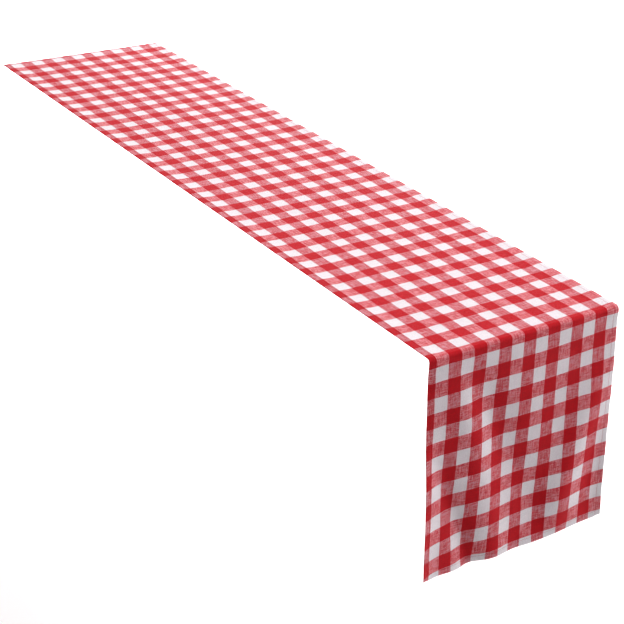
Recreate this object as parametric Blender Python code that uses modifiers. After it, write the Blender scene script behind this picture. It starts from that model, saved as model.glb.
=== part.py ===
"""Gingham table runner: a woven cloth laid flat, with one end hanging over the table's edge.

Frame: +Z up, +Y towards the far end, X across the width.  The origin is the middle of the laid
length's flat underside, which rests on the table top.  Units are metres.
"""
import math

import bpy
from mathutils import Vector

# Driving dimensions
CLOTH_WIDTH = 0.3576            # nominally 14 in, over the side hems
LAID_LENGTH = 1.4686            # far hem's edge to the corner line of the fold
HANGING_LENGTH = 0.3608         # corner line of the fold to the front hem's edge
CLOTH_THICKNESS = 0.0005
HEM_WIDTH = 0.012               # turned under twice: three layers of cloth
HEM_THICKNESS = 3 * CLOTH_THICKNESS
SEAM_INSET = 0.0095             # seam line, from the hem's outer edge
THREAD_RADIUS = 0.00015
SEAM_SINK = 0.00017             # how deep the middle of a thread lies in the cloth
SEAM_GROOVE_WIDTH = 0.0009      # stitches draw the layers in along the seam
SEAM_GROOVE_DEPTH = 0.00055
GAP = 0.0003                    # between neighbouring solids
HEM_GAP = 0.0008                # beside a hem that lies at an angle to the panel
SWING_GAP = 0.0008              # between the fold and the hanging end
FOLD_RADIUS = 0.006             # to the middle of the cloth's thickness
LEAN = math.radians(5.0)        # the hanging end stands out a little from the vertical
DRIFT = -0.0384                 # and drifts sideways, towards -X, by this share of its depth
HEM_SETTLE = 0.020              # below the fold, the hem's layers pass to the back of the cloth

# Soft folds of the hanging end.  Each is a long rounded ridge (or a furrow, if its height is
# negative): where its middle lies at the bend and at the foot, its half width, how far it
# stands out, and how far below the bend it begins and is full.
FOLDS = [
    # x at bend, x at foot, half width, height, begins, full
    (-0.133, -0.014, 0.030, 0.0052, 0.006, 0.089),
    (-0.119, 0.070, 0.039, -0.0057, 0.000, 0.086),
    (0.181, 0.072, 0.036, 0.0066, 0.016, 0.168),
    (-0.220, -0.078, 0.022, -0.0196, 0.000, 0.740),
    (-0.120, -0.001, 0.027, -0.0078, 0.044, 0.439),
]
# The stiff side hems curl forwards: how far, over what width, where it begins and is full.
LEFT_CURL = (0.0099, 0.0447, 0.009, 0.295)
RIGHT_CURL = (0.0039, 0.0315, 0.087, 0.305)
# The foot is drawn up towards its ends: the side, by how much, where that begins, over what width.
DRAWN_UP = [
    (-1, 0.0045, 0.080, 0.0988),
    (1, 0.0065, 0.020, 0.1588),
    (-1, 0.0035, 0.160, 0.0188),
    (1, 0.0035, 0.160, 0.0188),
]
DRAWING_IN_STEP = 0.004         # for measuring along the cloth across its folds

# Mesh density
PANEL_COLUMNS = 34
PANEL_ROWS = 22
FOLD_STEPS = 8
HEM_ROWS = 24
WIDTH_STEPS = 44

# The fold, seen from the side.  It turns the cloth from level to the leaning plane.
FOLD_TURN = math.pi / 2 - LEAN
MIDDLE_HEIGHT = CLOTH_THICKNESS / 2
FAR_Y = LAID_LENGTH / 2
CORNER_Y = -LAID_LENGTH / 2
FOLD_REACH = FOLD_RADIUS * math.tan(FOLD_TURN / 2)     # corner line to each end of the bend
FOLD_Y = CORNER_Y + FOLD_REACH                         # where the cloth leaves the level
FOLD_CENTRE_Z = MIDDLE_HEIGHT - FOLD_RADIUS
FOOT = HANGING_LENGTH - FOLD_REACH                     # length of cloth below the bend
EDGE = CLOTH_WIDTH / 2
PANEL_EDGE = EDGE - HEM_WIDTH - GAP

COLLECTION = "gingham_table_runner"


def clear_scene():
    for item in list(bpy.data.objects):
        bpy.data.objects.remove(item, do_unlink=True)


def material(name, colour, roughness):
    made = bpy.data.materials.new(name)
    made.use_nodes = True
    shader = made.node_tree.nodes["Principled BSDF"]
    shader.inputs["Base Color"].default_value = (*colour, 1.0)
    shader.inputs["Roughness"].default_value = roughness
    shader.inputs["Metallic"].default_value = 0.0
    return made


# Shape of the cloth -----------------------------------------------------------------------

def smooth(value):
    value = min(max(value, 0.0), 1.0)
    return value * value * (3 - 2 * value)


def bend(turn, offset=0.0):
    """Point (y, z) of the bend after a turn in radians, offset outwards from the middle."""
    radius = FOLD_RADIUS + offset
    return (FOLD_Y - radius * math.sin(turn), FOLD_CENTRE_Z + radius * math.cos(turn))


def relief(x, down):
    """How far the cloth stands out from the leaning plane, x measured across the flat cloth."""
    depth = down / FOOT
    height = 0.0
    for top_x, foot_x, half_width, ridge, begins, full in FOLDS:
        middle = top_x + (foot_x - top_x) * depth
        grown = smooth((down - begins) / (full - begins))
        height += ridge * grown * math.exp(-((x - middle) / half_width) ** 2)
    for side, (curl, width, begins, full) in ((-1, LEFT_CURL), (1, RIGHT_CURL)):
        grown = smooth((down - begins) / (full - begins))
        height += curl * grown * max(0.0, 1 - (EDGE - side * x) / width) ** 2
    return height


def drawn_up(x):
    """Share of the hanging length that the cloth has at x, which is less towards the sides."""
    short = sum(most * smooth((side * x - begins) / width)
                for side, most, begins, width in DRAWN_UP)
    return 1 - short / FOOT


def drawn_in(x, down):
    """Where a point x across the flat cloth comes to lie once the folds have drawn it in."""
    side = math.copysign(1.0, x)
    measured = reached = 0.0
    while measured < abs(x):
        ahead = min(measured + DRAWING_IN_STEP, abs(x))
        rise = relief(side * ahead, down) - relief(side * measured, down)
        reached += math.sqrt(max((ahead - measured) ** 2 - rise ** 2, 0.0))
        measured = ahead
    return side * reached


def hanging(x, down, offset=0.0):
    """Point of the hanging end: x across and down along the cloth, from below the bend."""
    y, z = bend(FOLD_TURN)
    down *= drawn_up(x)
    out = relief(x, down) + offset
    return Vector((drawn_in(x, down) + DRIFT * down,
                   y - down * math.sin(LEAN) - out * math.cos(LEAN),
                   z - down * math.cos(LEAN) + out * math.sin(LEAN)))


def hanging_frame(x, down, inward):
    """Edge point, unit vector inwards along the cloth, and unit vector out of its face.

    inward is the (x, down) step from the edge to the inner side of the hem."""
    point = hanging(x, down)
    into = (hanging(x + inward[0], down + inward[1]) - point).normalized()
    step = 0.001
    along = (step, 0.0) if inward[0] == 0 else (0.0, step)
    run = hanging(x + along[0], down + along[1]) - hanging(x - along[0], down - along[1])
    face = into.cross(run).normalized()
    if face.y > 0:
        face = -face
    return point, into, face


# Building the solids ------------------------------------------------------------------------

def add(name, mesh, body, finish):
    made = bpy.data.objects.new(name, mesh)
    parts.objects.link(made)
    mesh.materials.append(finish)
    made.parent = body
    made.matrix_parent_inverse = body.matrix_world.inverted()
    return made


def slab(name, low, high, body, finish):
    """A plain flat panel between two corners."""
    bpy.ops.mesh.primitive_cube_add(size=1.0)
    cube = bpy.context.active_object
    mesh = cube.data
    bpy.data.objects.remove(cube)
    low, high = Vector(low), Vector(high)
    for vertex in mesh.vertices:
        vertex.co = (low + high) / 2 + vertex.co * (high - low)
    mesh.name = name
    return add(name, mesh, body, finish)


def cloth_sheet(name, place, columns, rows, body, finish):
    """An open grid, each point placed by place(across 0-1, along 0-1), given its thickness."""
    bpy.ops.mesh.primitive_grid_add(x_subdivisions=columns, y_subdivisions=rows, size=2.0)
    grid = bpy.context.active_object
    mesh = grid.data
    bpy.data.objects.remove(grid)
    for vertex in mesh.vertices:
        vertex.co = place((vertex.co.x + 1) / 2, (vertex.co.y + 1) / 2)
    mesh.name = name
    made = add(name, mesh, body, finish)
    thicken = made.modifiers.new("cloth thickness", "SOLIDIFY")
    thicken.thickness = CLOTH_THICKNESS
    thicken.offset = 0.0
    return made


def hem_profile(base):
    """Section of a hem: three layers, drawn in along the seam on both faces.

    Pairs of (inwards from the edge, out of the cloth's face), base at its underside."""
    left = SEAM_INSET - SEAM_GROOVE_WIDTH / 2
    right = SEAM_INSET + SEAM_GROOVE_WIDTH / 2
    top = base + HEM_THICKNESS
    low_groove = base + SEAM_GROOVE_DEPTH
    top_groove = top - SEAM_GROOVE_DEPTH
    return [(0, base), (left, base), (left, low_groove), (right, low_groove), (right, base),
            (HEM_WIDTH, base), (HEM_WIDTH, top), (right, top), (right, top_groove),
            (left, top_groove), (left, top), (0, top)]


def hem(name, stations, body, finish):
    """A loft through hem sections.  Each station is (point, into, face, base)."""
    vertices, faces = [], []
    for point, into, face, base in stations:
        for across, out in hem_profile(base):
            vertices.append(point + into * across + face * out)
    count = len(hem_profile(0))
    for ring in range(len(stations) - 1):
        for side in range(count):
            after = (side + 1) % count
            faces.append((ring * count + side, ring * count + after,
                          (ring + 1) * count + after, (ring + 1) * count + side))
    last = (len(stations) - 1) * count
    faces.append(tuple(range(count))[::-1])
    faces.append(tuple(last + side for side in range(count)))
    mesh = bpy.data.meshes.new(name)
    mesh.from_pydata([tuple(v) for v in vertices], [], faces)
    mesh.validate()
    made = add(name, mesh, body, finish)
    turn_faces_out(mesh)
    return made


def turn_faces_out(mesh):
    """Turn every face over if the mesh encloses a negative volume."""
    volume = 0.0
    for face in mesh.polygons:
        corners = [mesh.vertices[index].co for index in face.vertices]
        for second, third in zip(corners[1:-1], corners[2:]):
            volume += corners[0].dot(second.cross(third))
    if volume < 0:
        mesh.flip_normals()


def thread(name, points, body, finish):
    """A sewing thread: a thin round wire along the seam."""
    curve = bpy.data.curves.new(name, "CURVE")
    curve.dimensions = "3D"
    curve.bevel_depth = THREAD_RADIUS
    curve.bevel_resolution = 1
    curve.use_fill_caps = True
    spline = curve.splines.new("POLY")
    spline.points.add(len(points) - 1)
    for slot, point in zip(spline.points, points):
        slot.co = (*point, 1.0)
    return add(name, curve, body, finish)


def steps(first, last, count):
    return [first + (last - first) * index / count for index in range(count + 1)]


# Stations along the seams and hems --------------------------------------------------------

def laid_point(x, y, base):
    """Station of a side hem on the level length."""
    inwards = Vector((-math.copysign(1, x), 0, 0))
    return Vector((x, y, MIDDLE_HEIGHT)), inwards, Vector((0, 0, 1)), base


def bend_point(x, turn, base):
    y, z = bend(turn)
    face = Vector((0, -math.sin(turn), math.cos(turn)))
    return Vector((x, y, z)), Vector((-math.copysign(1, x), 0, 0)), face, base


def hanging_point(x, down):
    inwards = -math.copysign(HEM_WIDTH, x)
    point, into, face = hanging_frame(x, down, (inwards, 0.0))
    return point, into, face, hem_base(down)


def foot_point(x):
    point, into, face = hanging_frame(x, FOOT, (0.0, -HEM_WIDTH))
    return point, into, face, hem_base(FOOT)


def hem_base(down):
    """Underside of the hem from the middle of the cloth: under it on the table, behind it below."""
    on_table = -CLOTH_THICKNESS / 2
    behind = CLOTH_THICKNESS / 2 - HEM_THICKNESS
    return on_table + (behind - on_table) * smooth(down / HEM_SETTLE)


def needle_line(stations):
    """The thread on the cloth's face, along the seam."""
    return [point + into * SEAM_INSET + face * (base + HEM_THICKNESS - SEAM_SINK)
            for point, into, face, base in stations]


def bobbin_line(stations):
    """The thread on the cloth's back, along the seam."""
    return [point + into * SEAM_INSET + face * (base + SEAM_SINK)
            for point, into, face, base in stations]


# The model -----------------------------------------------------------------------------------

clear_scene()
parts = bpy.data.collections.new(COLLECTION)
bpy.context.scene.collection.children.link(parts)

gingham = material("woven gingham", (0.62, 0.20, 0.22), 0.85)
hem_cloth = material("hemmed gingham", (0.55, 0.12, 0.14), 0.85)
sewing_thread = material("sewing thread", (0.55, 0.03, 0.05), 0.6)

# The hanging end swings about a line just outside the bend.  There the length of cloth round
# the bend stays the same when it is drawn out level.
pivot_radius = FOLD_RADIUS * FOLD_TURN / (2 * math.sin(FOLD_TURN / 2))
pivot = Vector((0, FOLD_Y - pivot_radius * math.sin(FOLD_TURN / 2),
                FOLD_CENTRE_Z + pivot_radius * math.cos(FOLD_TURN / 2)))

laid_length = bpy.data.objects.new("laid_length", None)
hanging_end = bpy.data.objects.new("hanging_end", None)
for holder in (laid_length, hanging_end):
    parts.objects.link(holder)
hanging_end.location = pivot
hanging_end.parent = laid_length
bpy.context.view_layer.update()

# Laid length
slab("laid_panel", (-PANEL_EDGE, FOLD_Y + GAP, 0),
     (PANEL_EDGE, FAR_Y - HEM_WIDTH - GAP, CLOTH_THICKNESS), laid_length, gingham)


def fold_place(across, along):
    y, z = bend(FOLD_TURN * along)
    return Vector((PANEL_EDGE * (2 * across - 1), y, z))


def hanging_place(across, along):
    down = SWING_GAP + (FOOT - HEM_WIDTH - HEM_GAP - SWING_GAP) * along
    return hanging((EDGE - HEM_WIDTH - HEM_GAP) * (2 * across - 1), down)


cloth_sheet("edge_fold", fold_place, 1, FOLD_STEPS, laid_length, gingham)
cloth_sheet("hanging_panel", hanging_place, PANEL_COLUMNS, PANEL_ROWS, hanging_end, gingham)

on_table = -CLOTH_THICKNESS / 2
for side, x in (("left", -EDGE), ("right", EDGE)):
    level = [laid_point(x, y, on_table) for y in (FAR_Y - HEM_WIDTH - GAP, FOLD_Y + GAP)]
    round_fold = [bend_point(x, turn, on_table) for turn in steps(0, FOLD_TURN, FOLD_STEPS)]
    below = [hanging_point(x, down)
             for down in steps(SWING_GAP, FOOT - HEM_WIDTH - HEM_GAP, HEM_ROWS)]
    hem(side + "_laid_hem", level, laid_length, hem_cloth)
    hem(side + "_fold_hem", round_fold, laid_length, hem_cloth)
    hem(side + "_hanging_hem", below, hanging_end, hem_cloth)
    for kind, line in (("needle", needle_line), ("bobbin", bobbin_line)):
        thread(f"{side}_laid_{kind}_thread", line(level[:1] + round_fold), laid_length,
               sewing_thread)
        thread(f"{side}_hanging_{kind}_thread", line(below), hanging_end, sewing_thread)

far_edge = [(Vector((x, FAR_Y, MIDDLE_HEIGHT)), Vector((0, -1, 0)), Vector((0, 0, 1)), on_table)
            for x in (-EDGE, EDGE)]
foot_edge = [foot_point(x) for x in steps(-EDGE, EDGE, WIDTH_STEPS)]
for side, edge, body in (("far", far_edge, laid_length), ("front", foot_edge, hanging_end)):
    hem(side + "_hem", edge, body, hem_cloth)
    thread(side + "_needle_thread", needle_line(edge), body, sewing_thread)
    thread(side + "_bobbin_thread", bobbin_line(edge), body, sewing_thread)
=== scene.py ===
# %% [markdown]
# # A gingham table runner, laid on a table with one end hanging
#
# The real thing is one length of yarn-dyed gingham, hemmed all round with four rows of
# lockstitch.  Most of it lies flat; one end turns over the table's edge and hangs in soft
# diagonal folds.  This lesson builds the cloth as one sheet with real hems, sews it with
# real stitches, weaves its checks from warp and weft in the shader, and lights it.
#
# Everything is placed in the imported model's frame: metres, +Z up, the laid cloth's
# underside at z = 0, the far end towards +Y, and the hanging end at -Y.

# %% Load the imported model
import math

import bpy
import numpy as np
from mathutils import Matrix, Vector


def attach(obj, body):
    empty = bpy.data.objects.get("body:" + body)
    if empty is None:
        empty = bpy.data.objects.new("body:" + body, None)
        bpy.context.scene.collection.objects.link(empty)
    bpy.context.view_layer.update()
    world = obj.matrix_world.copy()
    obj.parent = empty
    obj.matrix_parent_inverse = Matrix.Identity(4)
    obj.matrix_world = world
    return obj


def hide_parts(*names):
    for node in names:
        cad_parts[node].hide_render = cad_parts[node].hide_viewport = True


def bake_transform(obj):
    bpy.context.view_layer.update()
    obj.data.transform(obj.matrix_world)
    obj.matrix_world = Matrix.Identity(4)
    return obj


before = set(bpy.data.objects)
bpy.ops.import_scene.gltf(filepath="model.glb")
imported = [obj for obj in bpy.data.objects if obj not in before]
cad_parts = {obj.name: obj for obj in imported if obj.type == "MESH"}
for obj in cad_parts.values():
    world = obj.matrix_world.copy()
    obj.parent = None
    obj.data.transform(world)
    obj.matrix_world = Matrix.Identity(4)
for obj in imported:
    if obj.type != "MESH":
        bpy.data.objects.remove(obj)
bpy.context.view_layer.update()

# %% [markdown]
# ## The cloth's sizes
#
# A runner is cut, turned under twice on each side and stitched.  All the numbers below are
# of the finished cloth, the same as the CAD model was made with.  They are repeated here
# because a scene is given only the model, and not the numbers behind it.

# %% Sizes in metres
WIDTH = 0.3576                  # over the side hems
LAID = 1.4686                   # far hem to the corner line of the fold
HANGING = 0.3608                # corner line to the front hem
LAYER = 0.0005                  # one layer of cloth
HEM_WIDTH = 0.012
HEM_LAYERS = 3
SEAM_INSET = 0.0095             # stitch line, from the hem's outer edge
FOLD_RADIUS = 0.006
LEAN = math.radians(5)          # the hanging end stands out from the vertical
DRIFT = -0.0384                 # and drifts sideways by this share of its depth
HEM_SETTLE = 0.020              # below the fold, the hem's bulk passes to the back

EDGE = WIDTH / 2
FOLD_TURN = math.pi / 2 - LEAN
FOLD_REACH = FOLD_RADIUS * math.tan(FOLD_TURN / 2)
FAR_Y = LAID / 2
FOLD_Y = -LAID / 2 + FOLD_REACH
FOLD_CENTRE_Z = LAYER / 2 - FOLD_RADIUS
FOOT = HANGING - FOLD_REACH
FOLD_START = FAR_Y - FOLD_Y     # measured along the cloth from the far hem
FOLD_END = FOLD_START + FOLD_RADIUS * FOLD_TURN
LENGTH = FOLD_END + FOOT
print(f"flat cloth {WIDTH:.4f} x {LENGTH:.4f} m")
print(f"fold from {FOLD_START:.4f} to {FOLD_END:.4f} m from the far hem")

# %% [markdown]
# ## How the hanging end folds
#
# Cloth that hangs from a straight edge takes long soft folds that run down from the table's
# corners.  They could come from a cloth simulation, but a simulation picks its own folds.
# Here each fold is written down: where it starts and ends across the width, how wide and
# how high it is, and where it grows.  The sum of them is the cloth's relief, measured out
# of the plane in which the end hangs.  The numbers weren't chosen by hand: a separate
# least-squares program found them all together, and they were rounded.  That is why two
# folds start outside the cloth's edge, and one would be full only below the foot.

# %% Relief of the hanging end
FOLDS = [
    # x at bend, x at foot, half width, height, begins, full
    (-0.133, -0.014, 0.030, 0.0052, 0.006, 0.089),
    (-0.119, 0.070, 0.039, -0.0057, 0.000, 0.086),
    (0.181, 0.072, 0.036, 0.0066, 0.016, 0.168),
    (-0.220, -0.078, 0.022, -0.0196, 0.000, 0.740),
    (-0.120, -0.001, 0.027, -0.0078, 0.044, 0.439),
]
CURLS = [  # side, height, width, begins, full: the stiff side hems turn forwards
    (-1, 0.0099, 0.0447, 0.009, 0.295),
    (1, 0.0039, 0.0315, 0.087, 0.305),
]
DRAWN_UP = [  # side, by how much the foot is drawn up, where that begins, over what width
    (-1, 0.0045, 0.080, 0.0988),
    (1, 0.0065, 0.020, 0.1588),
    (-1, 0.0035, 0.160, 0.0188),
    (1, 0.0035, 0.160, 0.0188),
]


def smooth(value):
    value = np.clip(value, 0.0, 1.0)
    return value * value * (3 - 2 * value)


def relief(x, down):
    height = 0.0
    for top_x, foot_x, half_width, ridge, begins, full in FOLDS:
        middle = top_x + (foot_x - top_x) * down / FOOT
        grown = smooth((down - begins) / (full - begins))
        height = height + ridge * grown * np.exp(-((x - middle) / half_width) ** 2)
    for side, curl, width, begins, full in CURLS:
        grown = smooth((down - begins) / (full - begins))
        near = np.maximum(0.0, 1 - (EDGE - side * x) / width)
        height = height + curl * grown * near ** 2
    return height


# %% [markdown]
# ## Cloth hardly stretches
#
# Where the cloth goes in and out over its folds, its edges come closer together, because
# its width along the weave stays the same.  So the place of a yarn across the hanging end
# is found by walking outwards from the middle in small steps, each as long on the cloth as
# it is on the flat pattern.  The steps are added up once, in a table of many depths, and
# every point is looked up in it.

# %% Place of every point of the cloth
DRAW_STEPS, DEPTH_STEPS = 180, 240      # steps of the walk to each side, and depths
MARGIN = 0.002                  # the table reaches this far past the cloth


def drawn_up(x):
    """Share of the hanging length at x, which is less towards the sides."""
    short = sum(most * smooth((side * x - begins) / width)
                for side, most, begins, width in DRAWN_UP)
    return 1 - short / FOOT


def reach_table():
    """Drawn-in place of points across the cloth, one row for each depth."""
    walk = np.linspace(-EDGE - MARGIN, EDGE + MARGIN, 2 * DRAW_STEPS + 1)
    depths = np.linspace(0, FOOT + MARGIN, DEPTH_STEPS + 1)
    rise = np.diff(relief(walk[None, :], depths[:, None]), axis=1)
    step = walk[1] - walk[0]
    reach = np.cumsum(np.sqrt(step ** 2 - rise ** 2), axis=1)
    reach = np.concatenate([np.zeros((len(depths), 1)), reach], axis=1)
    return reach - reach[:, DRAW_STEPS:DRAW_STEPS + 1]


REACH = reach_table()


def drawn_in(x, down):
    """Where points x across the flat cloth come to lie once the folds have drawn it in."""
    column = (x + EDGE + MARGIN) / (EDGE + MARGIN) * DRAW_STEPS
    row = down / (FOOT + MARGIN) * DEPTH_STEPS
    left = np.clip(column.astype(int), 0, 2 * DRAW_STEPS - 1)
    upper = np.clip(row.astype(int), 0, DEPTH_STEPS - 1)
    across, below = column - left, row - upper
    above = REACH[upper, left] * (1 - across) + REACH[upper, left + 1] * across
    under = REACH[upper + 1, left] * (1 - across) + REACH[upper + 1, left + 1] * across
    return above * (1 - below) + under * below


def middle_of_cloth(x, along):
    """Middle of the cloth's thickness: x across, and along from the far hem's edge."""
    x, along = np.broadcast_arrays(np.asarray(x, float), np.asarray(along, float))
    turn = np.clip((along - FOLD_START) / FOLD_RADIUS, 0.0, FOLD_TURN)
    down = np.maximum(along - FOLD_END, 0.0) * drawn_up(x)
    out = relief(x, down)
    y = np.where(along < FOLD_START, FAR_Y - along, FOLD_Y - FOLD_RADIUS * np.sin(turn))
    z = FOLD_CENTRE_Z + FOLD_RADIUS * np.cos(turn)
    y = y - down * math.sin(LEAN) - out * math.cos(LEAN)
    z = z - down * math.cos(LEAN) + out * math.sin(LEAN)
    return np.stack([drawn_in(x, down) + DRIFT * down, y, z], axis=-1)


def unit(vectors):
    return vectors / np.linalg.norm(vectors, axis=-1, keepdims=True)


def face_direction(x, along, step=0.0005):
    """Unit vector out of the cloth's face."""
    across = middle_of_cloth(x + step, along) - middle_of_cloth(x - step, along)
    down = middle_of_cloth(x, along + step) - middle_of_cloth(x, along - step)
    return unit(np.cross(down, across))


print("foot of the cloth:", middle_of_cloth([-EDGE, 0, EDGE], LENGTH).round(4).tolist())

# %% [markdown]
# ## Hems
#
# A hem is turned under twice, so it is three layers thick, with a soft rounded fold at the
# outside and another where the turned layer ends.  On the table the bulk lies underneath
# and lifts the cloth beside it.  Below the fold it hangs at the back and the face stays
# smooth.  The stitching draws the layers together, which leaves a shallow groove and small
# puckers.
#
# Separate strips would show a gap at the edge.  Here the whole cloth is one closed sheet
# whose thickness grows at its hems.

# %% Thickness of the cloth and its hems
EDGE_ROUND = 0.0006             # how far in the outer fold is rounded
INNER_ROUND = 0.0005
EASE = 0.016                    # the cloth beside a hem comes down to the table over this
GROOVE_WIDTH, GROOVE_DEPTH = 0.0006, 0.00022
PUCKERS = [  # wavelength along the seam, share of the height, phase
    (0.0170, 0.45, 0.4), (0.0113, 0.35, 2.1), (0.0271, 0.55, 4.0), (0.0432, 0.5, 1.3),
]
PUCKER_HEIGHT, PUCKER_REACH = 0.00022, 0.014
HEM = HEM_LAYERS * LAYER


def from_edge(x, along):
    """Distances to the nearest side edge and to the nearest end."""
    return EDGE - np.abs(x), np.minimum(along, LENGTH - along)


def puckers(x, along):
    side, end = from_edge(x, along)
    height = 0.0
    for inset, run in ((side, along), (end, x)):
        wave = sum(share * (1 + np.sin(math.tau * run / length + phase + np.sign(x)))
                   for length, share, phase in PUCKERS)
        near = np.exp(-((inset - SEAM_INSET) / PUCKER_REACH) ** 2)
        height = height + PUCKER_HEIGHT * near * wave / 2
    return height


def offsets(x, along):
    """How far the face and the back lie from the middle of a single layer."""
    side, end = from_edge(x, along)
    inset = np.minimum(side, end)
    on_table = 1 - smooth((along - FOLD_END) / HEM_SETTLE)
    beside = 1 - smooth((inset - HEM_WIDTH) / EASE)
    lift = (HEM - LAYER) * beside * on_table
    groove = GROOVE_DEPTH * sum(np.exp(-((gap - SEAM_INSET) / GROOVE_WIDTH) ** 2)
                                for gap in (side, end))
    bulge = np.clip((inset - HEM_WIDTH + INNER_ROUND) / INNER_ROUND, 0.0, 1.0)
    extra = (HEM - LAYER) * np.sqrt(1 - bulge ** 2)
    rounding = np.clip(1 - inset / EDGE_ROUND, 0.0, 1.0)
    full = np.sqrt(1 - rounding ** 2)
    pucker = puckers(x, along)
    face = LAYER / 2 + lift + pucker - groove
    back = LAYER / 2 + lift + pucker - LAYER - extra
    back = back + groove * (extra > LAYER / 2)
    centre, half = (face + back) / 2, (face - back) / 2 * full
    return centre + half, centre - half


# %% [markdown]
# ## Laying out the sheet's rows and columns
#
# A fold needs many rows and a flat stretch needs few, so the rows and columns are placed
# closest round the outer fold, the stitch line and the turned edge of each hem, close round
# the table's edge, and evenly elsewhere.

# %% Rows and columns
COLUMN_STEP, LAID_STEP, HANGING_STEP = 0.0042, 0.0060, 0.0040
NEAR_FOLD, NEAR_FOLD_STEP = 0.02, 0.0025        # finer rows just before and after the fold
FOLD_ROWS = 18
OUTER_TURN = np.radians([90, 66, 44, 22, 0])    # rounding of the hem's outer fold
INNER_TURN = np.radians([0, 30, 55, 75, 90])    # and of its turned edge
BETWEEN_FOLD_AND_SEAM = [0.0024, 0.0048]
BESIDE_HEM = [HEM_WIDTH + 0.00002, 0.0145]


def hem_lines():
    """Insets from an edge at which the hem needs a line of points."""
    outer = EDGE_ROUND * (1 - np.sin(OUTER_TURN))
    inner = HEM_WIDTH - INNER_ROUND + INNER_ROUND * np.sin(INNER_TURN)
    groove = SEAM_INSET + GROOVE_WIDTH * np.array([-2.2, -1.1, 0, 1.1, 2.2])
    return np.concatenate([outer, BETWEEN_FOLD_AND_SEAM, groove, inner, BESIDE_HEM])


def evenly(first, last, step):
    return np.linspace(first, last, max(2, round(abs(last - first) / step) + 1))


lines = hem_lines()
clear = lines[-1]
columns = np.unique(np.concatenate([
    -EDGE + lines, evenly(-EDGE + clear, EDGE - clear, COLUMN_STEP), EDGE - lines]).round(8))
rows = np.unique(np.concatenate([
    lines, evenly(clear, FOLD_START - NEAR_FOLD, LAID_STEP),
    evenly(FOLD_START - NEAR_FOLD, FOLD_START, NEAR_FOLD_STEP),
    evenly(FOLD_START, FOLD_END, (FOLD_END - FOLD_START) / FOLD_ROWS),
    evenly(FOLD_END, FOLD_END + HEM_SETTLE, NEAR_FOLD_STEP),
    evenly(FOLD_END + HEM_SETTLE, LENGTH - clear, HANGING_STEP), LENGTH - lines]).round(8))
print(f"{len(columns)} columns and {len(rows)} rows")

# %% [markdown]
# ## The sheet
#
# The face and the back are two grids over the same rows and columns.  They share the
# points of the outermost line, so the sheet is closed.

# %% Make the cloth
grid_x, grid_along = np.meshgrid(columns, rows)
middle, out = middle_of_cloth(grid_x, grid_along), face_direction(grid_x, grid_along)
face_out, back_out = offsets(grid_x, grid_along)
face_points = middle + out * face_out[..., None]
back_points = middle + out * back_out[..., None]

face_index = np.arange(grid_x.size).reshape(grid_x.shape)
rim = np.zeros(grid_x.shape, bool)
rim[[0, -1], :] = rim[:, [0, -1]] = True
back_index = face_index.copy()
back_index[~rim] = grid_x.size + np.arange((~rim).sum())
points = np.concatenate([face_points.reshape(-1, 3), back_points[~rim]])


def quads(index):
    """The four corners of every cell of a grid of point numbers."""
    return np.stack([index[:-1, :-1], index[1:, :-1], index[1:, 1:], index[:-1, 1:]],
                    axis=-1).reshape(-1, 4)


faces = np.concatenate([quads(face_index), quads(back_index)[:, ::-1]])
cloth_mesh = bpy.data.meshes.new("runner_cloth")
cloth_mesh.from_pydata(points.tolist(), [], faces.tolist())
cloth_mesh.shade_smooth()
runner_cloth = bpy.data.objects.new("runner_cloth", cloth_mesh)
bpy.context.scene.collection.objects.link(runner_cloth)
print(f"cloth: {len(points)} points, {len(faces)} faces")

# %% [markdown]
# ## Where each point lies on the weave
#
# A loom never beats its rows quite evenly, and a cloth is seldom cut quite on the grain, so
# the rows of the hanging end are a little longer than the others and rise a little to one
# side. Where the foot is drawn up its rows aren't squeezed. On the back of a hem the cloth
# has been turned over, so its pattern runs backwards from the fold.

# %% Map the weave
FLAT_MAP = "flat_cloth"
ROWS_OPEN, OPENING = 1.403, 1.034   # from here on the rows of checks are a little longer
OFF_GRAIN = 0.0053                  # how far the rows rise to the right
GRAIN_X, GRAIN_WIDTH = 0.02, 0.18   # from where across the cloth, and over what width
GRAIN_LEAD, GRAIN_LENGTH = 0.03, 0.05   # how far before the fold, and over what length


def woven_place(x, along):
    """Where a point lies on the loom's even checks, in metres."""
    down = along - FOLD_END
    along = np.where(down > 0, FOLD_END + down * drawn_up(x), along)
    even = np.where(along > ROWS_OPEN, ROWS_OPEN + (along - ROWS_OPEN) / OPENING, along)
    grain = (smooth((x - GRAIN_X) / GRAIN_WIDTH)
             * smooth((along - FOLD_START + GRAIN_LEAD) / GRAIN_LENGTH))
    return np.stack([x, even + OFF_GRAIN * grain], axis=-1)


def turned_pattern():
    """Pattern place of every face corner, turned over on the back of the hems."""
    cells = quads(face_index)
    x, along = grid_x.ravel()[cells], grid_along.ravel()[cells]
    side, end = from_edge(x.mean(axis=1), along.mean(axis=1))
    in_end = end < HEM_WIDTH
    in_side = (side < HEM_WIDTH) & ~in_end
    edge_x = np.where(x.mean(axis=1) > 0, EDGE, -EDGE)[:, None]
    edge_along = np.where(along.mean(axis=1) > LENGTH / 2, LENGTH, 0.0)[:, None]
    behind = woven_place(np.where(in_side[:, None], 2 * edge_x - x, x),
                         np.where(in_end[:, None], 2 * edge_along - along, along))
    return np.concatenate([woven_place(x, along), behind[:, ::-1]])


pattern = cloth_mesh.uv_layers.new(name=FLAT_MAP)
pattern.data.foreach_set("uv", turned_pattern().ravel())
print(f"weave mapped on {len(pattern.data)} face corners")

# %% [markdown]
# ## Lockstitch
#
# A lockstitch has a needle thread on the face and a bobbin thread on the back.  Each stitch
# lies along the cloth for three millimetres and then goes down into it.  Drawn in the
# shader it would vanish from the side, so each thread is a thin tube that follows the hem.

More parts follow.
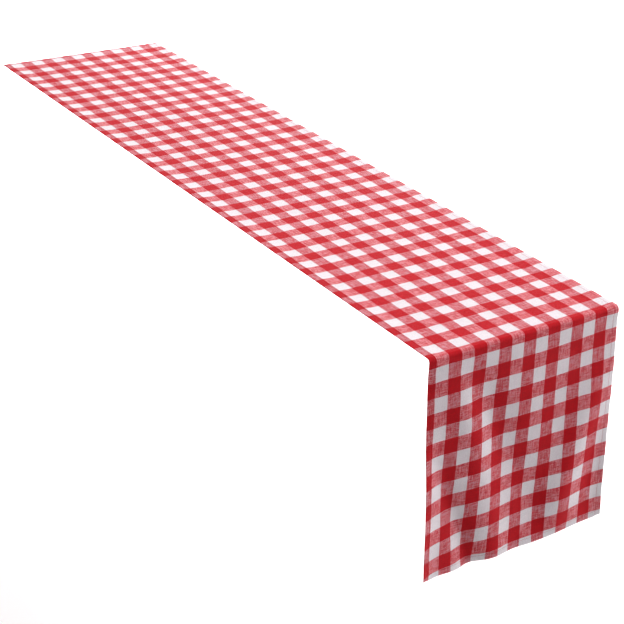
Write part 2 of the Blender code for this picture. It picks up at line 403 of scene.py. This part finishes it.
# %% Sew the four hems
STITCH = 0.003
THREAD = 0.00015                # radius
SLANT = 0.00008                 # each stitch lies a little across the seam
STITCH_RISE = [  # share of the stitch, rise over the cloth in thread radii
    (0.00, -1.1), (0.12, 0.25), (0.30, 0.75), (0.50, 0.90), (0.70, 0.75), (0.88, 0.25),
]
STITCH_MIDDLE = 0.45            # where a stitch crosses the line of the seam
THREAD_SIDES = 6
SEAM_SHORT = 0.002              # a seam starts and ends this far inside the hem


def seam(run, place, on_face):
    """Tube points along a seam: run is its length, place gives flat points along it."""
    count = int(run / STITCH)
    at, rise, sway = [], [], []
    for number in range(count):
        for share, height in STITCH_RISE:
            at.append((number + share) * run / count)
            rise.append(height * THREAD)
            sway.append((share - STITCH_MIDDLE) * SLANT * 2)
    at, rise, sway = np.array(at), np.array(rise), np.array(sway)
    x, along = place(at, sway)
    surface, away = middle_of_cloth(x, along), face_direction(x, along)
    face, back = offsets(x, along)
    if on_face:
        centre = surface + away * (face + rise)[:, None]
    else:
        centre = surface + away * (back - rise)[:, None]
    forward = unit(np.gradient(centre, axis=0))
    sideways = unit(np.cross(forward, away))
    upright = np.cross(sideways, forward)
    angles = math.tau * np.arange(THREAD_SIDES) / THREAD_SIDES
    ring = (np.cos(angles)[None, :, None] * sideways[:, None]
            + np.sin(angles)[None, :, None] * upright[:, None])
    return centre[:, None] + ring * THREAD


def tube(name, rings):
    """A closed tube through rings of points."""
    count, sides = rings.shape[:2]
    index = np.arange(count * sides).reshape(count, sides)
    wrapped = np.concatenate([index, index[:, :1]], axis=1)
    corners = [wrapped[:-1, :-1], wrapped[:-1, 1:], wrapped[1:, 1:], wrapped[1:, :-1]]
    walls = np.stack(corners, axis=-1).reshape(-1, 4).tolist()
    caps = [index[0, ::-1].tolist(), index[-1].tolist()]
    mesh = bpy.data.meshes.new(name)
    mesh.from_pydata(rings.reshape(-1, 3).tolist(), [], walls + caps)
    mesh.shade_smooth()
    made = bpy.data.objects.new(name, mesh)
    bpy.context.scene.collection.objects.link(made)
    return made


SIDE_RUN, END_RUN = LENGTH - 2 * SEAM_SHORT, WIDTH - 2 * SEAM_SHORT
SEAM_X, SEAM_END = EDGE - SEAM_INSET, LENGTH - SEAM_INSET
seams = {
    "left": (SIDE_RUN, lambda at, sway: (-SEAM_X + sway, SEAM_SHORT + at)),
    "right": (SIDE_RUN, lambda at, sway: (SEAM_X + sway, SEAM_SHORT + at)),
    "far": (END_RUN, lambda at, sway: (-EDGE + SEAM_SHORT + at, SEAM_INSET + sway)),
    "front": (END_RUN, lambda at, sway: (-EDGE + SEAM_SHORT + at, SEAM_END + sway)),
}
threads = {}
for side, (run, place) in seams.items():
    for kind, on_face in (("needle", True), ("bobbin", False)):
        name = f"{side}_{kind}_thread_sewn"
        threads[name] = tube(name, seam(run, place, on_face))
stitches = sum(int(run / STITCH) for run, _ in seams.values())
print(f"{len(threads)} threads, {stitches} stitches in each kind")

# %% [markdown]
# ## Writing a shader as arithmetic
#
# Wiring Math nodes by hand hides what a pattern does.  The class below wraps a socket, so
# that `a * 2 + 1` adds the nodes that work it out, and one method makes any other node.

# %% A socket that can be used in arithmetic
class Wire:
    def __init__(self, recipe, socket):
        self.recipe, self.socket = recipe, socket

    def math(self, operation, *others):
        return self.recipe.node("ShaderNodeMath", {"operation": operation},
                                dict(enumerate((self,) + others)))

    def __add__(self, other): return self.math("ADD", other)
    def __mul__(self, other): return self.math("MULTIPLY", other)
    def __sub__(self, other): return self.math("SUBTRACT", other)
    def __mod__(self, other): return self.math("FLOORED_MODULO", other)
    def __lt__(self, other): return self.math("LESS_THAN", other)
    def __rsub__(self, other): return (self * -1) + other
    __radd__, __rmul__ = __add__, __mul__

    def floor(self): return self.math("FLOOR")


class Recipe:
    """A material whose nodes are made by node()."""

    def __init__(self, name):
        self.material = bpy.data.materials.new(name)
        self.material.use_nodes = True
        self.tree = self.material.node_tree
        self.shader = self.tree.nodes["Principled BSDF"]

    def node(self, kind, settings=None, sockets=None, output=0):
        made = self.tree.nodes.new(kind)
        for setting, value in (settings or {}).items():
            setattr(made, setting, value)
        self.join(made, sockets or {})
        return Wire(self, made.outputs[output])

    def join(self, made, sockets):
        for socket, value in sockets.items():
            if isinstance(value, Wire):
                self.tree.links.new(value.socket, made.inputs[socket])
            else:
                made.inputs[socket].default_value = value

    def mix(self, factor, first, second, blend="MIX"):
        """Colours through a Mix node, whose colour sockets are numbers 6 and 7."""
        return self.node("ShaderNodeMix", {"data_type": "RGBA", "blend_type": blend},
                         {0: factor, 6: first, 7: second}, output=2)


# %% [markdown]
# ## Gingham
#
# Gingham is a plain weave of dyed yarns: bands of red and white warp crossed by the same
# bands of weft.  Red over red gives the full red squares, white over white the white ones,
# and a red yarn crossing a white one gives the half tone.  So the checks aren't painted: the
# shader finds which warp and which weft yarn it is at, whether each is red, and which of
# the two lies on top.  Every yarn has its own shade and its own thick and thin places,
# which show as fine streaks in the half tones.  Shade is painted into the colour in two
# places: in the gaps between the yarns, and on white yarn that crosses red, which is also
# tinted pink.  A little sheen stands for the cotton's fuzz.

# %% Weave the gingham
CHECK = 0.023
YARNS = 46                      # in one check, so the yarns lie half a millimetre apart
FIRST_COLUMN, FIRST_ROW = 7.725, 0.218      # check number at x = 0, and at the far edge
RED_DARK, RED_BRIGHT = (0.38, 0.001, 0.008, 1), (0.70, 0.007, 0.026, 1)
WHITE_DULL, WHITE_CLEAN = (0.70, 0.67, 0.70, 1), (0.88, 0.84, 0.86, 1)
# White yarn that crosses red yarn is tinted pink and darkened. The darkening is painted
# shade, and the weft gets more of it than the warp.
WARP_TINT_AND_SHADE = (1.00, 0.54, 0.56, 1)        # tint of white warp that crosses red weft
WEFT_TINT_AND_SHADE = (0.88, 0.54, 0.57, 1)        # and of white weft that crosses red warp
# The gaps between the yarns are darkened with this colour: painted shade.
CREVICE_SHADE = (0.74, 0.66, 0.68, 1)             # tint of the gaps between the yarns
WEAVE_HEIGHT = 0.00007
WANDER, WANDER_SCALE = 0.0012, 55.0         # how the bands stray, and over what distance
SLUB_SCALE, SLUB_DEPTH = 240, 1.6           # short thick and thin places along a yarn
BUNDLE_SCALE, BUNDLE_SPREAD = 70, 0.42      # longer ones, shared by neighbouring yarns
BUNDLE_DEPTH = 1.7
SHADE_DEPTH, TONE_LEVEL = 0.35, 0.32        # each yarn's own shade, and the common level
LANE_GAP, BUNDLE_LANE = 7.31, 5             # keep the yarns' and the bundles' noise apart
UNDER_SHARE = 0.2               # how much of the colour is the yarn's that lies below
DIP = 0.45                      # how far a yarn sinks where another crosses over it
ROUGHNESS, ROUGHER = 0.62, 0.12


def gingham(name):
    cloth = Recipe(name)
    flat = cloth.node("ShaderNodeUVMap", {"uv_map": FLAT_MAP})
    wander = cloth.node("ShaderNodeTexNoise", {"noise_dimensions": "2D"},
                        {"Vector": flat, "Scale": WANDER_SCALE, "Detail": 1.0}, output=0)
    sway = (wander - 0.5) * WANDER
    places = [cloth.node("ShaderNodeSeparateXYZ", sockets={0: flat}, output=axis)
              for axis in (0, 1)]

    yarns = []
    for place, run, first in ((places[0], places[1], FIRST_COLUMN),
                              (places[1], places[0], FIRST_ROW)):
        count = ((place + sway) * (1 / CHECK) + (first + 0.5)) * YARNS
        number = count.floor()
        red = ((number * (1 / YARNS)).floor() % 2) < 0.5
        across = count - number - 0.5
        shade = cloth.node("ShaderNodeTexWhiteNoise", {"noise_dimensions": "1D"},
                           {"W": number + first}, output=0)
        lane = cloth.node("ShaderNodeCombineXYZ",
                          sockets={0: number * LANE_GAP, 1: run * SLUB_SCALE, 2: first})
        slub = cloth.node("ShaderNodeTexNoise", {"noise_dimensions": "3D"},
                          {"Vector": lane, "Scale": 1.0, "Detail": 2.0}, output=0)
        tone = shade * SHADE_DEPTH + (slub - 0.5) * SLUB_DEPTH + TONE_LEVEL
        bundle = cloth.node("ShaderNodeCombineXYZ", sockets={
            0: number * BUNDLE_SPREAD, 1: run * BUNDLE_SCALE, 2: first + BUNDLE_LANE})
        thick = cloth.node("ShaderNodeTexNoise", {"noise_dimensions": "3D"},
                           {"Vector": bundle, "Scale": 1.0, "Detail": 2.0}, output=0)
        yarns.append((number, red, across, tone, thick))

    (warp, warp_red, warp_across, warp_tone, warp_thick) = yarns[0]
    (weft, weft_red, weft_across, weft_tone, weft_thick) = yarns[1]
    weft_on_top = (warp + weft) % 2
    weft_share = (weft_on_top * (1 - 2 * UNDER_SHARE)
                  + (weft_thick - warp_thick) * BUNDLE_DEPTH + UNDER_SHARE)
    crowns = []
    for mine, other in ((warp_across, weft_across), (weft_across, warp_across)):
        crown = (mine * math.pi).math("COSINE")
        arch = (other * math.pi).math("COSINE") * DIP + (1 - DIP)
        crowns.append(crown * arch)
    height = crowns[0] * (1 - weft_on_top) + crowns[1] * weft_on_top

    mixed = (warp_red - weft_red).math("ABSOLUTE")
    colours = []
    # In the half tones the white yarn is multiplied by its tint: pink, and painted shade.
    for red, tone, tint_and_shade in ((warp_red, warp_tone, WARP_TINT_AND_SHADE),
                             (weft_red, weft_tone, WEFT_TINT_AND_SHADE)):
        white = cloth.mix(tone, WHITE_DULL, WHITE_CLEAN)
        white = cloth.mix(mixed, white, cloth.mix(1.0, white, tint_and_shade, "MULTIPLY"))
        colours.append(cloth.mix(red, white, cloth.mix(tone, RED_DARK, RED_BRIGHT)))
    woven = cloth.mix(weft_share, colours[0], colours[1])
    # Where the weave is low, between the yarns, the colour is darkened: painted shade.
    shaded_woven = cloth.mix(1.0, woven, CREVICE_SHADE, "MULTIPLY")
    cloth.join(cloth.shader, {
        "Base Color": cloth.mix(height, shaded_woven, woven),
        "Roughness": ROUGHNESS + warp_tone * ROUGHER,
        "Normal": cloth.node("ShaderNodeBump", None, {
            "Strength": 1.0, "Distance": WEAVE_HEIGHT, "Height": height}),
        "Specular IOR Level": 0.28,
        "Sheen Weight": 0.26,
        "Sheen Roughness": 0.3,
    })
    return cloth.material


gingham_cloth = gingham("woven gingham")
print("gingham nodes:", len(gingham_cloth.node_tree.nodes))

# %% [markdown]
# ## Sewing thread
#
# Sewing thread is spun polyester, red like the cloth and a little glossier.  Its plies show
# as fine slanting ridges, so a wave along the tube feeds the bump.  The same wave darkens
# the colour in the grooves between the plies, as painted shade.

# %% Twist the thread
THREAD_GROOVE_SHADE, THREAD_BRIGHT = (0.30, 0.004, 0.016, 1), (0.56, 0.012, 0.035, 1)
PLY_SCALE, PLY_HEIGHT = 900.0, 0.00004
THREAD_ROUGHNESS, THREAD_ROUGHER = 0.42, 0.1


def sewing_thread(name):
    thread = Recipe(name)
    place = thread.node("ShaderNodeTexCoord", output=3)
    plies = thread.node("ShaderNodeTexWave", {"bands_direction": "DIAGONAL"},
                        {"Vector": place, "Scale": PLY_SCALE, "Distortion": 0.6})
    thread.join(thread.shader, {
        # The colour follows the ply ridges and is darker in the grooves: painted shade.
        "Base Color": thread.mix(plies, THREAD_GROOVE_SHADE, THREAD_BRIGHT),
        "Roughness": THREAD_ROUGHNESS + plies * THREAD_ROUGHER,
        "Normal": thread.node("ShaderNodeBump", None, {
            "Strength": 0.6, "Distance": PLY_HEIGHT, "Height": plies}),
        "Sheen Weight": 0.1,
    })
    return thread.material


red_thread = sewing_thread("sewing thread")
runner_cloth.data.materials.append(gingham_cloth)
for thread in threads.values():
    thread.data.materials.append(red_thread)
print("sewing thread nodes:", len(red_thread.node_tree.nodes))

# %% [markdown]
# ## What moves with what
#
# The laid length rests on the table and the hanging end swings about the table's edge.  The
# cloth and the long seams cross that edge, so they are fixed to neither body.  The far
# seam stays on the table and the front seam swings.

# %% Fix the pieces to the model's bodies
TABLE, END = "laid_length", "hanging_end"
panels = ["laid_panel", "edge_fold", "hanging_panel", "far_hem", "front_hem"]
panels += [f"{side}_{part}_hem" for side in ("left", "right")
           for part in ("laid", "fold", "hanging")]

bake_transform(runner_cloth)
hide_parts(*panels)
for name, thread in threads.items():
    side, kind = name.split("_")[:2]
    if side in ("left", "right"):
        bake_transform(thread)
        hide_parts(f"{side}_laid_{kind}_thread", f"{side}_hanging_{kind}_thread")
    else:
        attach(thread, TABLE if side == "far" else END)
        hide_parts(f"{side}_{kind}_thread")
print(f"{len(panels)} panels and hems replaced by one sheet")

# %% [markdown]
# ## Camera
#
# The camera stands in front of the hanging end and to the left, a metre above the table,
# with a long lens, as for a product picture.  It is rolled by a few degrees.  Its lens,
# place and angles come from such a program too.

# %% Camera
LENS, SENSOR = 93.16, 36.0
CAMERA_PLACE = (-1.4401, -2.2866, 1.0593)
azimuth, elevation, roll = (math.radians(angle) for angle in (-34.315, 26.466, 2.601))
back = Vector((math.sin(azimuth) * math.cos(elevation),
               -math.cos(azimuth) * math.cos(elevation), math.sin(elevation)))
right = Vector((0, 0, 1)).cross(back).normalized()
up = back.cross(right)
tilted_right = math.cos(roll) * right + math.sin(roll) * up
tilted_up = math.cos(roll) * up - math.sin(roll) * right
camera_data = bpy.data.cameras.new("camera")
camera_data.lens, camera_data.sensor_width = LENS, SENSOR
camera = bpy.data.objects.new("camera", camera_data)
bpy.context.scene.collection.objects.link(camera)
turned = Matrix((tilted_right, tilted_up, back)).transposed().to_4x4()
camera.matrix_world = Matrix.Translation(CAMERA_PLACE) @ turned
bpy.context.scene.camera = camera
print("camera at", CAMERA_PLACE)

# %% [markdown]
# ## Floor and light
#
# A plain pale floor lies a table's height below.  Three soft lamps stand to the right of
# the hanging end, and rake across its folds, so that one side of each is bright and the
# other is dim.  The lamps behind and to the left stand behind the plane of the hanging end,
# so they brighten only the laid cloth and the floor.  The far one shines towards the camera
# over the cloth and brings out its sheen.  A dim sky fills the shadows.

# %% Floor, lamps and sky
FLOOR_Z, FLOOR_HALF = -0.75, 20
FLOOR_DULL, FLOOR_PALE = (0.95, 0.95, 0.95, 1), (0.97, 0.97, 0.97, 1)
SKY_STRENGTH = 0.18


def lamp(name, place, target, size, power, spread=180):
    """A round lamp of the given size in metres, power in watts and spread in degrees."""
    data = bpy.data.lights.new(name, "AREA")
    data.shape, data.size, data.energy = "DISK", size, power
    data.spread = math.radians(spread)
    made = bpy.data.objects.new(name, data)
    bpy.context.scene.collection.objects.link(made)
    made.location = place
    forward = Vector(target) - Vector(place)
    made.rotation_euler = forward.to_track_quat("-Z", "Y").to_euler()


corners = [(x * FLOOR_HALF, y * FLOOR_HALF, FLOOR_Z)
           for x, y in ((-1, -1), (1, -1), (1, 1), (-1, 1))]
floor_mesh = bpy.data.meshes.new("floor")
floor_mesh.from_pydata(corners, [], [(0, 1, 2, 3)])
floor = bpy.data.objects.new("floor", floor_mesh)
bpy.context.scene.collection.objects.link(floor)
paint = Recipe("pale floor")
speckle = paint.node("ShaderNodeTexNoise", None, {"Scale": 3.0})
paint.join(paint.shader, {"Base Color": paint.mix(speckle, FLOOR_DULL, FLOOR_PALE),
                          "Roughness": 0.9, "Specular IOR Level": 0.1})
floor_mesh.materials.append(paint.material)

lamp("floor softbox", (2.6, 3.2, 3.0), (2.6, 3.0, -0.75), 3.0, 170, spread=100)
lamp("back softbox", (1.2, 2.2, 3.0), (0, 0.8, -0.7), 4.0, 14)
lamp("far lamp", (3.0, 3.6, 2.0), (0, -0.3, 0), 2.0, 52)
lamp("left softbox", (-1.5, -0.3, 2.5), (-0.6, -0.3, 0), 1.0, 37)
lamp("high side lamp", (1.8, -1.6, 2.0), (0, -0.75, -0.2), 0.8, 25)
lamp("side lamp", (2.2, -1.35, 1.2), (0, -0.75, -0.2), 0.5, 11)
lamp("low side lamp", (2.4, -1.15, 0.3), (0, -0.75, -0.2), 0.7, 19)

sky = bpy.data.worlds.new("pale sky")
sky.use_nodes = True
background = sky.node_tree.nodes["Background"].inputs
background["Color"].default_value = (1, 1, 1, 1)
background["Strength"].default_value = SKY_STRENGTH
bpy.context.scene.world = sky
bpy.context.scene.view_settings.view_transform = "Standard"
bpy.context.scene.view_settings.look = "High Contrast"
print("lamps:", [light.name for light in bpy.data.lights])
